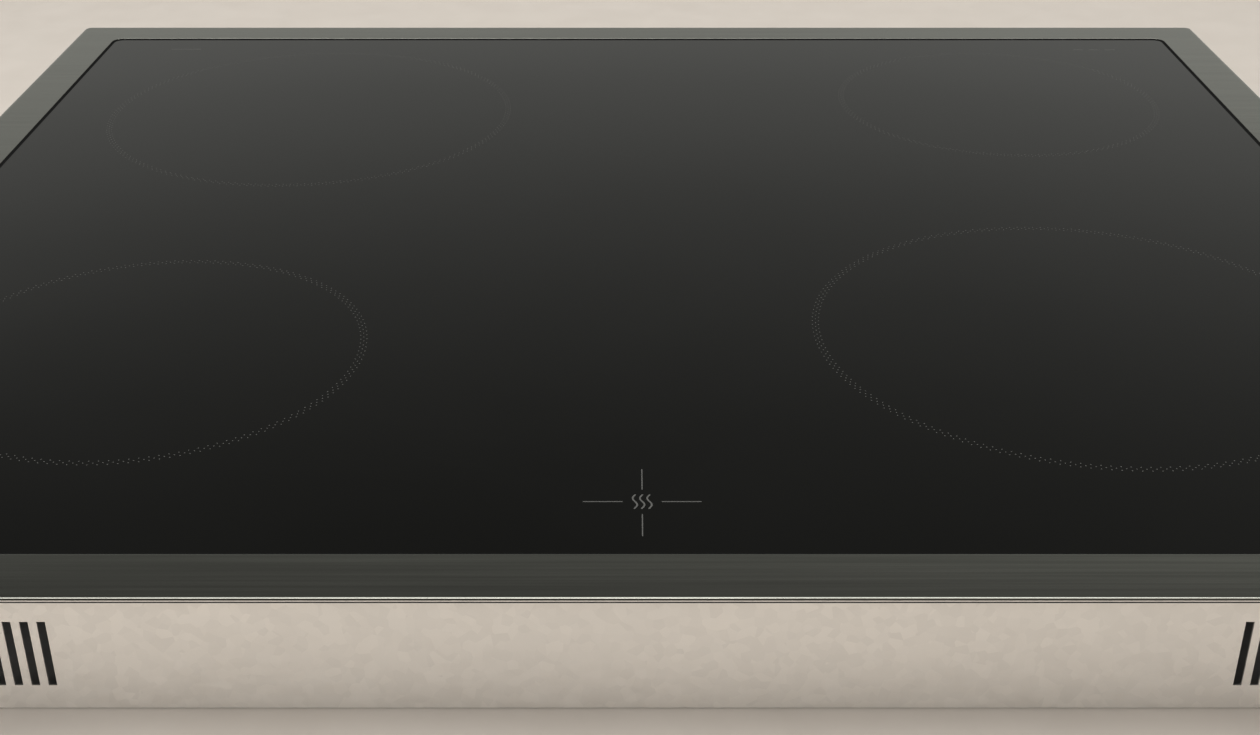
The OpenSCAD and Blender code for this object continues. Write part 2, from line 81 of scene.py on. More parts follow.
# ------------------------------------------------------------------ sizes
lo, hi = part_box("trim_frame")
FW, FD, TOP = hi.x - lo.x, hi.y - lo.y, hi.z
glo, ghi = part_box("glass_plate")
GW, GD, GTOP, GBOT = ghi.x - glo.x, ghi.y - glo.y, ghi.z, glo.z
BAND = 20 * MM
OW, OD = FW - 2 * BAND, FD - 2 * BAND
SHEET = 0.7 * MM
LEDGE_LIP = 0.83 * MM
LEDGE = lo.z
FLOOR_Z = CAD_BOX[0].z
ZONES = [
    ("front_left", -166.5, -116, 72.5),
    ("front_right", 149.5, -102, 90),
    ("rear_left", -150.5, 123, 90),
    ("rear_right", 167.5, 140, 72.5),
]
SIGN = (-0.8, -209.7)

# ------------------------------------------------------------------ camera
cam_data = bpy.data.cameras.new("camera")
cam_data.sensor_fit = "HORIZONTAL"
cam_data.sensor_width = 36
cam_data.lens = 48.103
cam_data.clip_start, cam_data.clip_end = 0.02, 60
cam = bpy.data.objects.new("camera", cam_data)
scene.collection.objects.link(cam)
cam.location = (-0.00428, -0.61642, GTOP + 0.25834)
cam.rotation_euler = (math.radians(90 - 27.869), 0, 0)
scene.camera = cam

scene.view_settings.view_transform = "Standard"
scene.view_settings.look = "None"
scene.view_settings.exposure = 0
scene.view_settings.gamma = 1


# ------------------------------------------------------------------ node helpers
class Mat:
    """A node material under construction."""

    def __init__(self, name):
        self.m = bpy.data.materials.new(name)
        self.m.use_nodes = True
        self.t = self.m.node_tree
        self.t.nodes.clear()
        self.out = self.t.nodes.new("ShaderNodeOutputMaterial")
        self.b = self.t.nodes.new("ShaderNodeBsdfPrincipled")
        self.t.links.new(self.b.outputs[0], self.out.inputs[0])
        self.co = self.t.nodes.new("ShaderNodeTexCoord").outputs["Object"]

    def link(self, a, b):
        self.t.links.new(a, b)

    def set(self, **kw):
        names = {
            "metallic": "Metallic", "roughness": "Roughness", "ior": "IOR", "specular": "Specular IOR Level",
            "coat": "Coat Weight", "coat_roughness": "Coat Roughness", "anisotropic": "Anisotropic",
            "sheen": "Sheen Weight", "color": "Base Color",
        }
        for k, v in kw.items():
            s = self.b.inputs[names[k]]
            s.default_value = (*v, 1) if k == "color" else v
        return self

    def mapped(self, scale=(1, 1, 1), offset=(0, 0, 0), rot=(0, 0, 0)):
        n = self.t.nodes.new("ShaderNodeMapping")
        n.inputs["Scale"].default_value = scale
        n.inputs["Location"].default_value = offset
        n.inputs["Rotation"].default_value = rot
        self.link(self.co, n.inputs["Vector"])
        return n.outputs[0]

    def noise(self, vec, scale=1.0, detail=3.0, rough=0.5, distort=0.0):
        n = self.t.nodes.new("ShaderNodeTexNoise")
        n.inputs["Scale"].default_value = scale
        n.inputs["Detail"].default_value = detail
        n.inputs["Roughness"].default_value = rough
        n.inputs["Distortion"].default_value = distort
        self.link(vec, n.inputs["Vector"])
        return n.outputs["Fac"]

    def voronoi(self, vec, scale, feature="F1", out="Distance", randomness=1.0):
        n = self.t.nodes.new("ShaderNodeTexVoronoi")
        n.feature = feature
        n.inputs["Scale"].default_value = scale
        n.inputs["Randomness"].default_value = randomness
        self.link(vec, n.inputs["Vector"])
        return n.outputs[out]

    def wave(self, vec, scale, distort=0.0, kind="BANDS", axis="X"):
        n = self.t.nodes.new("ShaderNodeTexWave")
        n.wave_type = kind
        if kind == "BANDS":
            n.bands_direction = axis
        else:
            n.rings_direction = axis
        n.inputs["Scale"].default_value = scale
        n.inputs["Distortion"].default_value = distort
        self.link(vec, n.inputs["Vector"])
        return n.outputs["Fac"]

    def ramp(self, fac, stops, mode="LINEAR"):
        n = self.t.nodes.new("ShaderNodeValToRGB")
        r = n.color_ramp
        r.interpolation = mode
        while len(r.elements) < len(stops):
            r.elements.new(0.5)
        for e, (p, c) in zip(r.elements, stops):
            e.position = p
            e.color = (c, c, c, 1) if isinstance(c, (int, float)) else (*c, 1)
        self.link(fac, n.inputs["Fac"])
        return n.outputs["Color"]

    def range(self, fac, a, b, c, d):
        n = self.t.nodes.new("ShaderNodeMapRange")
        for k, v in zip(("From Min", "From Max", "To Min", "To Max"), (a, b, c, d)):
            n.inputs[k].default_value = v
        self.link(fac, n.inputs["Value"])
        return n.outputs[0]

    def mixc(self, fac, a, b, mode="MIX"):
        n = self.t.nodes.new("ShaderNodeMix")
        n.data_type = "RGBA"
        n.blend_type = mode
        for i, v in ((0, fac), (6, a), (7, b)):
            s = n.inputs[i]
            if isinstance(v, (int, float)):
                s.default_value = v if i == 0 else (v, v, v, 1)
            elif isinstance(v, tuple):
                s.default_value = (*v, 1)
            else:
                self.link(v, s)
        return n.outputs[2]

    def math(self, op, a, b=0.0):
        n = self.t.nodes.new("ShaderNodeMath")
        n.operation = op
        for s, v in ((n.inputs[0], a), (n.inputs[1], b)):
            if isinstance(v, (int, float)):
                s.default_value = v
            else:
                self.link(v, s)
        return n.outputs[0]

    def color(self, socket):
        self.link(socket, self.b.inputs["Base Color"])
        return self

    def rough(self, socket):
        self.link(socket, self.b.inputs["Roughness"])
        return self

    def bump(self, height, strength=0.3, distance=0.0002, under=None):
        n = self.t.nodes.new("ShaderNodeBump")
        n.inputs["Strength"].default_value = strength
        n.inputs["Distance"].default_value = distance
        self.link(height, n.inputs["Height"])
        if under is not None:
            self.link(under, n.inputs["Normal"])
        self.link(n.outputs[0], self.b.inputs["Normal"])
        return n.outputs[0]


# ------------------------------------------------------------------ materials
def glass_ceramic():
    m = Mat("glass_ceramic")
    m.set(metallic=0.0, ior=1.52)
    smear = m.noise(m.mapped((1, 1, 1)), 9, 4, 0.55, 0.6)
    fine = m.noise(m.mapped((1, 1, 1)), 60, 3, 0.5)
    m.color(m.mixc(m.range(smear, 0.35, 0.7, 0, 1), (0.0012, 0.0012, 0.0010), (0.0020, 0.0020, 0.0018)))
    m.rough(m.math("ADD", m.range(smear, 0.3, 0.75, 0.035, 0.06), m.range(fine, 0.3, 0.7, 0.0, 0.01)))
    return m.m


def brushed_steel(name, base, rough=(0.26, 0.36), grain=(9, 900, 900), strength=0.12, front=False):
    m = Mat(name)
    m.set(metallic=1.0)
    g1 = m.noise(m.mapped(grain), 1.0, 4, 0.6)
    g2 = m.noise(m.mapped((grain[0] * 0.35, grain[1] * 0.28, grain[2] * 0.28), (3, 1, 7)), 1.0, 3, 0.6)
    blot = m.noise(m.mapped(), 6, 3, 0.5, 0.4)
    both = m.math("ADD", m.math("MULTIPLY", g1, 0.6), m.math("MULTIPLY", g2, 0.4))
    dark = tuple(c * 0.9 for c in base)
    lite = tuple(min(1, c * 1.08) for c in base)
    c = m.mixc(m.range(both, 0.38, 0.62, 0, 1), dark, lite)
    c = m.mixc(m.range(blot, 0.35, 0.7, 0, 0.25), c, tuple(x * 0.93 for x in base))
    if front:
        # painted reflection: the front strip's colour is made brighter towards the glass and towards the right,
        # standing in for the uneven reflection on it
        sep = m.t.nodes.new("ShaderNodeSeparateXYZ")
        m.link(m.co, sep.inputs[0])
        across = m.range(sep.outputs["Y"], -0.257, -0.237, 1.12, 1.58)
        along = m.range(sep.outputs["X"], -0.15, 0.16, 0.85, 1.085)
        painted_light_tone = m.math("MULTIPLY", across, along)
        painted_light_tone = m.math("ADD", m.math("MULTIPLY", m.math("SUBTRACT", painted_light_tone, 1.0), m.range(sep.outputs["Y"], -0.236, -0.226, 1, 0)), 1.0)
        # painted shade: the sheet's outer edge below its rounded top is darkened, standing in for the dark reflection
        # and shadow under the highlight
        painted_light_tone = m.math("MULTIPLY", painted_light_tone, m.range(sep.outputs["Z"], TOP - 0.37 * MM, TOP - 0.27 * MM, 0.12, 1.0))
        c = m.mixc(1.0, c, painted_light_tone, "MULTIPLY")
    m.color(c)
    m.rough(m.math("ADD", m.range(both, 0.35, 0.65, rough[0], rough[1]), m.range(blot, 0.3, 0.7, -0.02, 0.03)))
    m.bump(both, strength, 0.00003)
    return m.m


def print_grey(name, base):
    m = Mat(name)
    m.set(ior=1.5)
    s = m.noise(m.mapped(), 2600, 2, 0.6)
    w = m.noise(m.mapped(), 30, 3, 0.5)
    c = m.mixc(m.range(s, 0.3, 0.7, 0, 1), tuple(x * 0.82 for x in base), tuple(x * 1.12 for x in base))
    m.color(m.mixc(m.range(w, 0.4, 0.75, 0, 0.3), c, tuple(x * 0.85 for x in base)))
    m.rough(m.range(s, 0.3, 0.7, 0.32, 0.5))
    m.bump(s, 0.15, 0.00001)
    return m.m


def galvanised(name="galvanised_sheet", base=(0.76, 0.732, 0.695)):
    m = Mat(name)
    m.set(metallic=0.85)
    spangle = m.voronoi(m.mapped(), 330, "F1", "Color")
    n = m.t.nodes.new("ShaderNodeSeparateColor")
    m.link(spangle, n.inputs[0])
    wear = m.noise(m.mapped(), 14, 4, 0.6, 0.3)
    fine = m.noise(m.mapped((60, 60, 60)), 12, 3, 0.6)
    c = m.mixc(n.outputs[0], tuple(x * 0.955 for x in base), tuple(min(1, x * 1.035) for x in base))
    m.color(m.mixc(m.range(wear, 0.35, 0.75, 0.0, 0.35), c, tuple(x * 0.86 for x in base)))
    m.rough(m.math("ADD", m.range(n.outputs[1], 0, 1, 0.40, 0.50), m.range(wear, 0.3, 0.7, 0.0, 0.08)))
    m.bump(m.math("ADD", m.math("MULTIPLY", fine, 0.6), m.math("MULTIPLY", wear, 0.8)), 0.2, 0.00012)
    return m.m


def moulded(name, base, rough=(0.42, 0.55), grain=900, depth=0.00002, vary=0.12):
    m = Mat(name)
    m.set(ior=1.48)
    g = m.noise(m.mapped(), grain, 3, 0.6)
    v = m.noise(m.mapped(), 18, 3, 0.55, 0.3)
    m.color(m.mixc(m.range(v, 0.3, 0.7, 0, 1), tuple(x * (1 - vary) for x in base), tuple(min(1, x * (1 + vary)) for x in base)))
    m.rough(m.math("ADD", m.range(g, 0.3, 0.7, rough[0], rough[1]), m.range(v, 0.3, 0.7, -0.03, 0.03)))
    m.bump(g, 0.35, depth)
    return m.m


def foam(name, base):
    m = Mat(name)
    m.set(ior=1.45)
    cells = m.voronoi(m.mapped(), 1500, "F1")
    v = m.noise(m.mapped(), 40, 3)
    m.color(m.mixc(m.range(cells, 0.0, 0.5, 0, 1), tuple(x * 0.6 for x in base), tuple(x * 1.2 for x in base)))
    m.rough(m.range(v, 0.3, 0.7, 0.75, 0.95))
    m.bump(cells, 0.5, 0.0001)
    return m.m


def rubber(name, base, specular=0.5, rough=(0.45, 0.62)):
    m = Mat(name)
    m.set(ior=1.42, specular=specular)
    g = m.noise(m.mapped(), 1400, 2, 0.5)
    v = m.noise(m.mapped(), 25, 3, 0.5)
    m.color(m.mixc(v, tuple(x * 0.8 for x in base), tuple(x * 1.25 for x in base)))
    m.rough(m.range(g, 0.3, 0.7, *rough))
    m.bump(g, 0.2, 0.00002)
    return m.m


def metal(name, base, rough=(0.25, 0.4), scale=220, vary=0.1, strength=0.15, stretch=(1, 1, 1), tint=None):
    m = Mat(name)
    m.set(metallic=1.0)
    g = m.noise(m.mapped(stretch), scale, 4, 0.6)
    v = m.noise(m.mapped(), 22, 3, 0.5, 0.5)
    c = m.mixc(m.range(g, 0.3, 0.7, 0, 1), tuple(x * (1 - vary) for x in base), tuple(min(1, x * (1 + vary)) for x in base))
    m.color(m.mixc(m.range(v, 0.4, 0.75, 0, 0.45), c, tint or tuple(x * 0.85 for x in base)))
    m.rough(m.math("ADD", m.range(g, 0.3, 0.7, rough[0], rough[1]), m.range(v, 0.3, 0.7, -0.03, 0.05)))
    m.bump(g, strength, 0.00004)
    return m.m


def litz(name):
    m = Mat(name)
    m.set(metallic=0.9, coat=0.5, coat_roughness=0.2)
    strands = m.noise(m.mapped((1, 1, 2.5)), 1500, 3, 0.7, 0.4)
    v = m.noise(m.mapped(), 60, 3)
    c = m.mixc(m.range(strands, 0.35, 0.65, 0, 1), (0.20, 0.055, 0.018), (0.66, 0.27, 0.11))
    m.color(m.mixc(m.range(v, 0.4, 0.7, 0, 0.4), c, (0.42, 0.15, 0.05)))
    m.rough(m.range(strands, 0.3, 0.7, 0.3, 0.45))
    m.bump(strands, 0.6, 0.0002)
    return m.m


def board(name):
    m = Mat(name)
    m.set(ior=1.5, coat=0.3, coat_roughness=0.25)
    tracks = m.wave(m.mapped((90, 90, 90)), 1.0, 3.0)
    cells = m.voronoi(m.mapped(), 120, "F1", "Distance", 0.4)
    c = m.mixc(m.range(tracks, 0.45, 0.55, 0, 1), (0.006, 0.055, 0.022), (0.012, 0.10, 0.04))
    m.color(m.mixc(m.range(cells, 0.0, 0.12, 1, 0), c, (0.45, 0.42, 0.34)))
    m.rough(m.range(tracks, 0, 1, 0.3, 0.42))
    m.bump(tracks, 0.3, 0.00005)
    return m.m


def spotted(name, base, spot, scale, rough=(0.5, 0.7)):
    m = Mat(name)
    m.set(ior=1.5)
    s = m.noise(m.mapped(), scale, 4, 0.65)
    m.color(m.mixc(m.range(s, 0.42, 0.62, 0, 1), base, spot))
    m.rough(m.range(s, 0.3, 0.7, *rough))
    m.bump(s, 0.25, 0.00006)
    return m.m


MATS = {
    "glass_ceramic": glass_ceramic(),
    "black_seal": rubber("black_seal", (0.003, 0.003, 0.003), 0.12, (0.6, 0.75)),
    "brushed_trim": brushed_steel("brushed_trim", (0.355, 0.360, 0.328), (0.12, 0.18), front=True),
    "galvanised_sheet": galvanised(),
    "gasket_foam": foam("gasket_foam", (0.015, 0.015, 0.015)),
    "glass_print": print_grey("glass_print", (0.085, 0.085, 0.081)),
    "symbol_ink": print_grey("symbol_ink", (0.085, 0.085, 0.082)),
    "litz_copper": litz("litz_copper"),
    "former_plastic": moulded("former_plastic", (0.60, 0.56, 0.46)),
    "ferrite": spotted("ferrite", (0.018, 0.018, 0.02), (0.05, 0.05, 0.055), 700),
    "mica": spotted("mica", (0.60, 0.52, 0.38), (0.75, 0.70, 0.58), 260, (0.3, 0.5)),
    "sensor_plastic": moulded("sensor_plastic", (0.72, 0.68, 0.58)),
    "aluminium_sheet": metal("aluminium_sheet", (0.78, 0.79, 0.80), (0.32, 0.46), 1.0, 0.06, 0.1, (40, 700, 700)),
    "heatsink_aluminium": metal("heatsink_aluminium", (0.74, 0.75, 0.76), (0.3, 0.45), 1.0, 0.07, 0.12, (700, 30, 700)),
    "spring_wire": metal("spring_wire", (0.55, 0.55, 0.56), (0.2, 0.32), 900, 0.1),
    "circuit_board": board("circuit_board"),
    "component_black": moulded("component_black", (0.02, 0.02, 0.02), (0.45, 0.6), 1500),
    "capacitor_yellow": moulded("capacitor_yellow", (0.62, 0.42, 0.03), (0.25, 0.4), 500),
    "choke_copper": litz("choke_copper"),
    "black_plastic": moulded("black_plastic", (0.018, 0.018, 0.019), (0.42, 0.58), 1100),
    "rotor_plastic": moulded("rotor_plastic", (0.04, 0.04, 0.043), (0.38, 0.5), 900),
    "zinc_steel": metal("zinc_steel", (0.62, 0.62, 0.60), (0.24, 0.4), 380, 0.09, 0.15, (1, 1, 1), (0.55, 0.52, 0.45)),
    "brass_nut": metal("brass_nut", (0.66, 0.50, 0.22), (0.22, 0.34), 500, 0.1),
    "touch_foam": foam("touch_foam", (0.03, 0.03, 0.032)),
    "light_plastic": moulded("light_plastic", (0.70, 0.69, 0.63)),
    "harness_grey": moulded("harness_grey", (0.34, 0.34, 0.35), (0.4, 0.55), 600),
}

slot_of = {s["node"]: s["material_slot"] for s in frame["record"]["subparts"]}
for name, o in NODES.items():
    o.data.materials.clear()
    o.data.materials.append(MATS[slot_of[name]])


# ------------------------------------------------------------------ mesh helpers
def new_piece(name, mesh, mat, body="hob", replaces=()):
    o = bpy.data.objects.new(name, mesh)
    scene.collection.objects.link(o)
    mesh.materials.append(MATS[mat])
    if replaces:
        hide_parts(*replaces)
    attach(o, body)
    return o


def smooth(mesh, angle=35):
    mesh.shade_smooth()
    mesh.set_sharp_from_angle(angle=math.radians(angle))


def from_bm(bm, name, angle=35):
    bmesh.ops.recalc_face_normals(bm, faces=bm.faces)
    mesh = bpy.data.meshes.new(name)
    bm.to_mesh(mesh)
    bm.free()
    smooth(mesh, angle)
    return mesh


def rr(w, d, r, z, n=12):
    """Points round a rounded rectangle, the same count whatever its size."""
    r = max(r, 1e-5)
    pts = []
    for k, (sx, sy) in enumerate(((1, 1), (-1, 1), (-1, -1), (1, -1))):
        cx, cy = sx * (w / 2 - r), sy * (d / 2 - r)
        for i in range(n + 1):
            a = math.radians(90 * k + 90 * i / n)
            pts.append(Vector((cx + r * math.cos(a), cy + r * math.sin(a), z)))
    return pts


def loft(bm, loops, closed=False):
    rings = [[bm.verts.new(p) for p in loop] for loop in loops]
    n = len(rings[0])
    pairs = list(zip(rings, rings[1:])) + ([(rings[-1], rings[0])] if closed else [])
    for a, b in pairs:
        for i in range(n):
            bm.faces.new((a[i], a[(i + 1) % n], b[(i + 1) % n], b[i]))
    return rings


def arc(w, d, r, z, c, a0, a1, steps, outward=True, n=12):
    """Loops of a rounded edge of radius c whose end lies on the outline (w, d) at height z; angles from the outline's normal."""
    loops = []
    for i in range(steps + 1):
        a = math.radians(a0 + (a1 - a0) * i / steps)
        inset = c * (1 - math.cos(a)) * (1 if outward else -1)
        zz = z + c * math.sin(a)
        loops.append(rr(w - 2 * inset, d - 2 * inset, r - inset, zz, n))
    return loops


# ------------------------------------------------------------------ glass plate
def build_glass():
    bm = bmesh.new()
    r, c = 4.5 * MM, 0.22 * MM
    loops = [rr(GW - 2 * c, GD - 2 * c, r - c, GBOT)]
    loops += [rr(GW, GD, r, GBOT + c)]
    loops += [rr(GW, GD, r, GTOP - c - 0.6 * MM)]
    loops += arc(GW, GD, r, GTOP - c, c, 0, 90, 6)
    loops += [rr(GW - 2.4 * c, GD - 2.4 * c, r - 1.2 * c, GTOP), rr(GW - 5 * MM, GD - 5 * MM, r - 2.4 * MM, GTOP)]
    rings = loft(bm, loops)
    bm.faces.new(reversed(rings[0]))
    bm.faces.new(rings[-1])
    return new_piece("glass_top", from_bm(bm, "glass_top", 40), "glass_ceramic", replaces=("glass_plate",))


build_glass()


# ------------------------------------------------------------------ trim frame
def build_trim():
    bm = bmesh.new()
    ro, ri = 3.0 * MM, 5.5 * MM
    ce, ci = 0.20 * MM, 0.07 * MM
    zb = TOP - SHEET
    loops = []
    # turned-down lip, outer wall upward, rolled outer edge, flat band, rounded inner edge
    roll, lip = 0.11 * MM, LEDGE_LIP
    loops.append(rr(FW - 0.9 * MM, FD - 0.9 * MM, ro - 0.4 * MM, zb))
    loops.append(rr(FW - 0.7 * MM, FD - 0.7 * MM, ro - 0.35 * MM, lip))
    loops.append(rr(FW - 0.1 * MM, FD - 0.1 * MM, ro - 0.05 * MM, lip))
    loops.append(rr(FW - 0.04 * MM, FD - 0.04 * MM, ro - 0.02 * MM, TOP - roll - ce - 0.05 * MM))
    loops += arc(FW, FD, ro, TOP - roll - ce, ce, 0, 84, 7)
    for inset, down in ((0.35, 0.55), (0.75, 0.25), (1.2, 0.0), (1.4, 0.0)):
        loops.append(rr(FW - 2 * inset * MM, FD - 2 * inset * MM, ro - inset * MM, TOP - roll * down))
    loops.append(rr(OW + 2 * ci + 0.3 * MM, OD + 2 * ci + 0.3 * MM, ri + ci, TOP))
    for i in range(5):
        a = math.radians(90 * i / 4)
        k = ci * (1 - math.sin(a))
        loops.append(rr(OW + 2 * k, OD + 2 * k, ri + k, TOP - ci + ci * math.cos(a)))
    loops.append(rr(OW, OD, ri, LEDGE + SHEET + 0.02 * MM))
    loops.append(rr(OW - 0.1 * MM, OD - 0.1 * MM, ri, LEDGE + SHEET))
    loops.append(rr(OW - 16 * MM, OD - 16 * MM, 3 * MM, LEDGE + SHEET))
    loops.append(rr(OW - 16 * MM, OD - 16 * MM, 3 * MM, LEDGE))
    loops.append(rr(OW + 2 * SHEET - 0.3 * MM, OD + 2 * SHEET - 0.3 * MM, ri + SHEET, LEDGE))
    loops.append(rr(OW + 2 * SHEET, OD + 2 * SHEET, ri + SHEET, LEDGE + 0.15 * MM))
    loops.append(rr(OW + 2 * SHEET, OD + 2 * SHEET, ri + SHEET, zb))
    loft(bm, loops, closed=True)
    return new_piece("trim_band", from_bm(bm, "trim_band", 40), "brushed_trim", replaces=("trim_frame",))


build_trim()


# ------------------------------------------------------------------ silicone joint
def build_joint():
    """A smoothed fillet of silicone: it covers the glass's arris and climbs the frame's inner wall."""
    bm = bmesh.new()
    g = 0.02 * MM
    ow, od, orr = OW - 2 * g, OD - 2 * g, 5.5 * MM - g
    over = 0.3 * MM
    iw, idd, irr = GW - 2 * over, GD - 2 * over, 4.5 * MM - over
    z0, z1 = TOP - 0.04 * MM, GTOP + 0.025 * MM
    loops = [rr(ow, od, orr, GBOT - 0.28 * MM), rr(ow, od, orr, z0 - 0.05 * MM), rr(ow, od, orr, z0)]
    steps = 9
    for i in range(1, steps + 1):
        t = i / steps
        k = (ow - iw) * t
        loops.append(rr(ow - k, od - (od - idd) * t, orr - k / 2, z1 + (z0 - z1) * (1 - t) ** 2.3))
    loops.append(rr(iw - 0.08 * MM, idd - 0.08 * MM, irr - 0.04 * MM, GTOP - 0.01 * MM))
    loops.append(rr(GW - 1.4 * MM, GD - 1.4 * MM, 3.8 * MM, GTOP - 0.2 * MM))
    loops.append(rr(GW - 1.4 * MM, GD - 1.4 * MM, 3.8 * MM, GBOT + 0.1 * MM))
    loops.append(rr(OW - 15 * MM, OD - 15 * MM, 3 * MM, GBOT - 0.02 * MM))
    loops.append(rr(OW - 15 * MM, OD - 15 * MM, 3 * MM, GBOT - 0.28 * MM))
    loft(bm, loops, closed=True)
    return new_piece("glass_joint", from_bm(bm, "glass_joint", 50), "black_seal", replaces=("glass_seal",))


build_joint()


# ------------------------------------------------------------------ printed rings: three rows of dots
def disc(bm, x, y, r, z0, z1, n=10, turn=0.0):
    low = [bm.verts.new((x + r * math.cos(turn + 2 * math.pi * i / n), y + r * math.sin(turn + 2 * math.pi * i / n), z0)) for i in range(n)]
    top = [bm.verts.new((v.co.x, v.co.y, z1)) for v in low]
    bm.faces.new(top)
    bm.faces.new(reversed(low))
    for i in range(n):
        bm.faces.new((low[i], low[(i + 1) % n], top[(i + 1) % n], top[i]))


def build_dots():
    bm = bmesh.new()
    for name, x, y, r in ZONES:
        count = 192 if r > 80 else 154
        for row, dr in enumerate((-1.05, 0.0, 1.05)):
            for i in range(count):
                a = 2 * math.pi * (i + (0.5 if row == 1 else 0.0)) / count
                disc(bm, (x + (r + dr) * math.cos(a)) * MM, (y + (r + dr) * math.sin(a)) * MM,
                     0.205 * MM, GTOP - 0.02 * MM, GTOP + 0.012 * MM, 10, a)
    mesh = bpy.data.meshes.new("zone_dots")
    bm.to_mesh(mesh)
    bm.free()
    return new_piece("zone_dots", mesh, "glass_print", replaces=("zone_print",))


build_dots()


# ------------------------------------------------------------------ printed sign
def stroke(bm, pts, width, z0, z1, cap=6):
    """A flat closed strip of even width along pts with round ends."""
    n = len(pts)
    left, right = [], []
    for i, p in enumerate(pts):
        a, b = pts[max(0, i - 1)], pts[min(n - 1, i + 1)]
        d = Vector((b[0] - a[0], b[1] - a[1])).normalized()
        nx, ny = -d.y * width / 2, d.x * width / 2
        left.append((p[0] + nx, p[1] + ny))
        right.append((p[0] - nx, p[1] - ny))

    def end(p, q):
        d = Vector((p[0] - q[0], p[1] - q[1])).normalized()
        base = math.atan2(d.y, d.x)
        return [(p[0] + width / 2 * math.cos(base + math.pi / 2 - math.pi * i / cap), p[1] + width / 2 * math.sin(base + math.pi / 2 - math.pi * i / cap)) for i in range(1, cap)]

    outline = left + end(pts[-1], pts[-2]) + right[::-1] + end(pts[0], pts[1])
    low = [bm.verts.new((x, y, z0)) for x, y in outline]
    top = [bm.verts.new((x, y, z1)) for x, y in outline]
    bm.faces.new(top)
    bm.faces.new(reversed(low))
    for i in range(len(low)):
        j = (i + 1) % len(low)
        bm.faces.new((low[i], low[j], top[j], top[i]))


def line(a, b, n=2):
    return [(a[0] + (b[0] - a[0]) * i / (n - 1), a[1] + (b[1] - a[1]) * i / (n - 1)) for i in range(n)]


def build_symbol():
    bm = bmesh.new()
    z0, z1 = GTOP - 0.02 * MM, GTOP + 0.012 * MM
    cx, cy = SIGN[0] * MM, SIGN[1] * MM
    for s in (-1, 1):
        stroke(bm, line((cx + s * 5.75 * MM, cy), (cx + s * 16.8 * MM, cy)), 0.40 * MM, z0, z1)
        stroke(bm, line((cx, cy + s * 6.65 * MM), (cx, cy + s * 17.6 * MM)), 0.32 * MM, z0, z1)
    for dx in (-2.08, 0, 2.08):
        pts = []
        for i in range(29):
            t = i / 28
            y = 3.62 - 7.24 * t
            x = -0.64 * math.sin(2 * math.pi * (1.05 * t - 0.015))
            pts.append((cx + (dx + x) * MM, cy + y * MM))
        stroke(bm, pts, 0.5 * MM, z0, z1)
    bmesh.ops.recalc_face_normals(bm, faces=bm.faces)
    mesh = bpy.data.meshes.new("sign_marks")
    bm.to_mesh(mesh)
    bm.free()
    return new_piece("sign_marks", mesh, "symbol_ink", replaces=("symbol_print",))


build_symbol()


def build_rear_marks():
    bm = bmesh.new()
    z0, z1 = GTOP - 0.02 * MM, GTOP + 0.012 * MM
    stroke(bm, line((-238.3 * MM, 220 * MM), (-223.7 * MM, 220 * MM)), 0.5 * MM, z0, z1)
    for x in (222, 230, 238):
        stroke(bm, line((x * MM, 219 * MM), ((x + 5) * MM, 219 * MM)), 0.5 * MM, z0, z1)
    bmesh.ops.recalc_face_normals(bm, faces=bm.faces)
    mesh = bpy.data.meshes.new("rear_marks")
    bm.to_mesh(mesh)
    bm.free()
    return new_piece("rear_marks", mesh, "glass_print")


build_rear_marks()


# ------------------------------------------------------------------ pieces with softened edges, made from the CAD shapes
def dress(node, width=0.25, segments=2, angle=35, body="hob", name=None, grow=0.0, corner=2.5 * MM):
    src = NODES[node]
    bm = bmesh.new()
    bm.from_mesh(src.data)
    if grow:
        # widen only the outermost edge, all the way round
        hx = max(abs(v.co.x) for v in bm.verts)
        hy = max(abs(v.co.y) for v in bm.verts)
        for v in bm.verts:
            cx = max(-(hx - corner), min(hx - corner, v.co.x))
            cy = max(-(hy - corner), min(hy - corner, v.co.y))
            d = Vector((v.co.x - cx, v.co.y - cy))
            if d.length > corner - 0.15 * MM:
                d.normalize()
                v.co.x += d.x * grow
                v.co.y += d.y * grow
    bmesh.ops.remove_doubles(bm, verts=bm.verts, dist=2e-6)
    bmesh.ops.dissolve_limit(bm, angle_limit=math.radians(0.6), verts=bm.verts, edges=bm.edges)
    mesh = bpy.data.meshes.new(name or node + "_shell")
    bm.to_mesh(mesh)
    bm.free()
    smooth(mesh, angle)
    o = new_piece(name or node + "_shell", mesh, slot_of[node], body=body, replaces=(node,))
    b = o.modifiers.new("edges", "BEVEL")
    b.width = width * MM
    b.segments = segments
    b.limit_method = "ANGLE"
    b.angle_limit = math.radians(angle)
    b.harden_normals = True
    b.use_clamp_overlap = True
    return o


body_of = {n: b for b, ns in frame["record"]["behaviour"]["bodies"].items() for n in ns}
for node, width in (
    ("bottom_tray", 0.22), ("carrier_frame", 0.12), ("terminal_box", 0.3), ("terminal_cover", 0.35),
    ("clamp_arm_front_left", 0.35), ("clamp_arm_front_right", 0.35), ("clamp_arm_rear_left", 0.35), ("clamp_arm_rear_right", 0.35),
    ("clamp_nut_front_left", 0.25), ("clamp_nut_front_right", 0.25), ("clamp_nut_rear_left", 0.25), ("clamp_nut_rear_right", 0.25),
    ("tray_screws", 0.2),
):
    dress(node, width, body=body_of[node], grow=0.25 * MM if node == "carrier_frame" else 0.0)
dress("worktop_gasket", 0.06, grow=0.62 * MM)


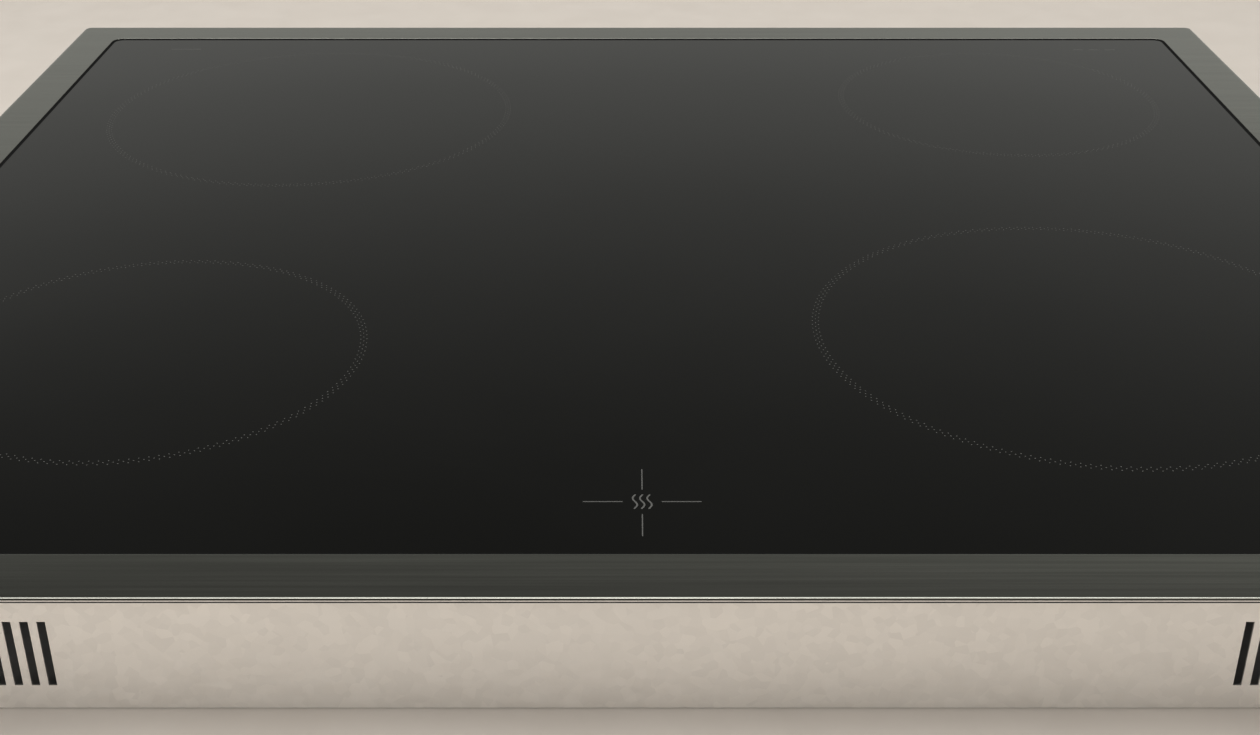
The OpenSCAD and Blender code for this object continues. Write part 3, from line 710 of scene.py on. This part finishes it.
# ------------------------------------------------------------------ floor, world and lights
def build_floor():
    mesh = bpy.data.meshes.new("floor")
    bm = bmesh.new()
    s = 14
    vs = [bm.verts.new((x * s, y * s, FLOOR_Z - 0.0003)) for x, y in ((-1, -1), (1, -1), (1, 1), (-1, 1))]
    bm.faces.new(vs)
    bm.to_mesh(mesh)
    bm.free()
    o = bpy.data.objects.new("floor", mesh)
    scene.collection.objects.link(o)
    m = Mat("floor")
    a = m.noise(m.mapped(), 38, 4, 0.6, 0.3)
    b = m.noise(m.mapped(), 9, 3, 0.5)
    c = m.mixc(m.range(a, 0.35, 0.68, 0, 1), (0.520, 0.475, 0.435), (0.545, 0.500, 0.460))
    m.color(m.mixc(m.range(b, 0.4, 0.7, 0, 0.3), c, (0.530, 0.482, 0.438)))
    m.rough(m.range(a, 0.3, 0.7, 0.7, 0.85))
    m.set(specular=0.25)
    mesh.materials.append(m.m)


build_floor()


def build_world():
    w = bpy.data.worlds.new("studio")
    scene.world = w
    w.use_nodes = True
    t = w.node_tree
    t.nodes.clear()
    out = t.nodes.new("ShaderNodeOutputWorld")
    bg = t.nodes.new("ShaderNodeBackground")
    t.links.new(bg.outputs[0], out.inputs[0])
    co = t.nodes.new("ShaderNodeTexCoord")
    sep = t.nodes.new("ShaderNodeSeparateXYZ")
    t.links.new(co.outputs["Generated"], sep.inputs[0])
    ramp = t.nodes.new("ShaderNodeValToRGB")
    r = ramp.color_ramp
    # brightness against the sine of the elevation, in units of 2.0
    stops = [(0.0, 0.46), (0.12, 0.43), (0.22, 0.40), (0.290, 0.352), (0.302, 0.337), (0.312, 0.316), (0.340, 0.287), (0.373, 0.240),
             (0.422, 0.189), (0.470, 0.150), (0.517, 0.118), (0.562, 0.100), (0.62, 0.082), (0.70, 0.072), (0.77, 0.10), (0.84, 0.38),
             (0.91, 1.3), (1.0, 1.6)]
    while len(r.elements) < len(stops):
        r.elements.new(0.5)
    for e, (p, v) in zip(r.elements, stops):
        v /= 2.0
        e.position = p
        e.color = (v, v * 1.003, v * 0.945, 1)
    t.links.new(sep.outputs["Z"], ramp.inputs["Fac"])
    # lighter towards the sides low down, and towards the right higher up
    def node(op, a, b):
        n = t.nodes.new("ShaderNodeMath")
        n.operation = op
        for k, v in ((0, a), (1, b)):
            if isinstance(v, (int, float)):
                n.inputs[k].default_value = v
            else:
                t.links.new(v, n.inputs[k])
        return n.outputs[0]

    def mapped(v, a, b, c, d):
        n = t.nodes.new("ShaderNodeMapRange")
        for k, x in zip(("From Min", "From Max", "To Min", "To Max"), (a, b, c, d)):
            n.inputs[k].default_value = x
        t.links.new(v, n.inputs["Value"])
        return n.outputs[0]

    x, z = sep.outputs["X"], sep.outputs["Z"]
    side = mapped(node("MULTIPLY", x, x), 0.0, 0.35, 0.0, 1.0)
    limited = mapped(x, -0.4, 0.4, -0.4, 0.4)
    even = node("MULTIPLY", side, mapped(z, 0.41, 0.47, 0.5, -0.1))
    odd = node("MULTIPLY", limited, mapped(z, 0.40, 0.52, 0.14, 0.5))
    t.links.new(ramp.outputs["Color"], bg.inputs["Color"])
    t.links.new(node("ADD", 2.0, node("ADD", even, odd)), bg.inputs["Strength"])


build_world()


def area(name, loc, target, size, power, color=(1, 1, 1)):
    d = bpy.data.lights.new(name, "AREA")
    d.shape = "RECTANGLE"
    d.size, d.size_y = size
    d.energy = power
    d.color = color
    o = bpy.data.objects.new(name, d)
    scene.collection.objects.link(o)
    o.location = loc
    o.rotation_euler = (Vector(target) - Vector(loc)).to_track_quat("-Z", "Y").to_euler()
    return o


area("overhead", (0.0, -0.25, 2.0), (0, 0, 0), (2.2, 1.4), 38, (1.0, 0.985, 0.96))
area("front_fill", (-0.6, -2.4, 1.3), (0, 0, -0.02), (1.8, 1.0), 34, (1.0, 0.98, 0.95))
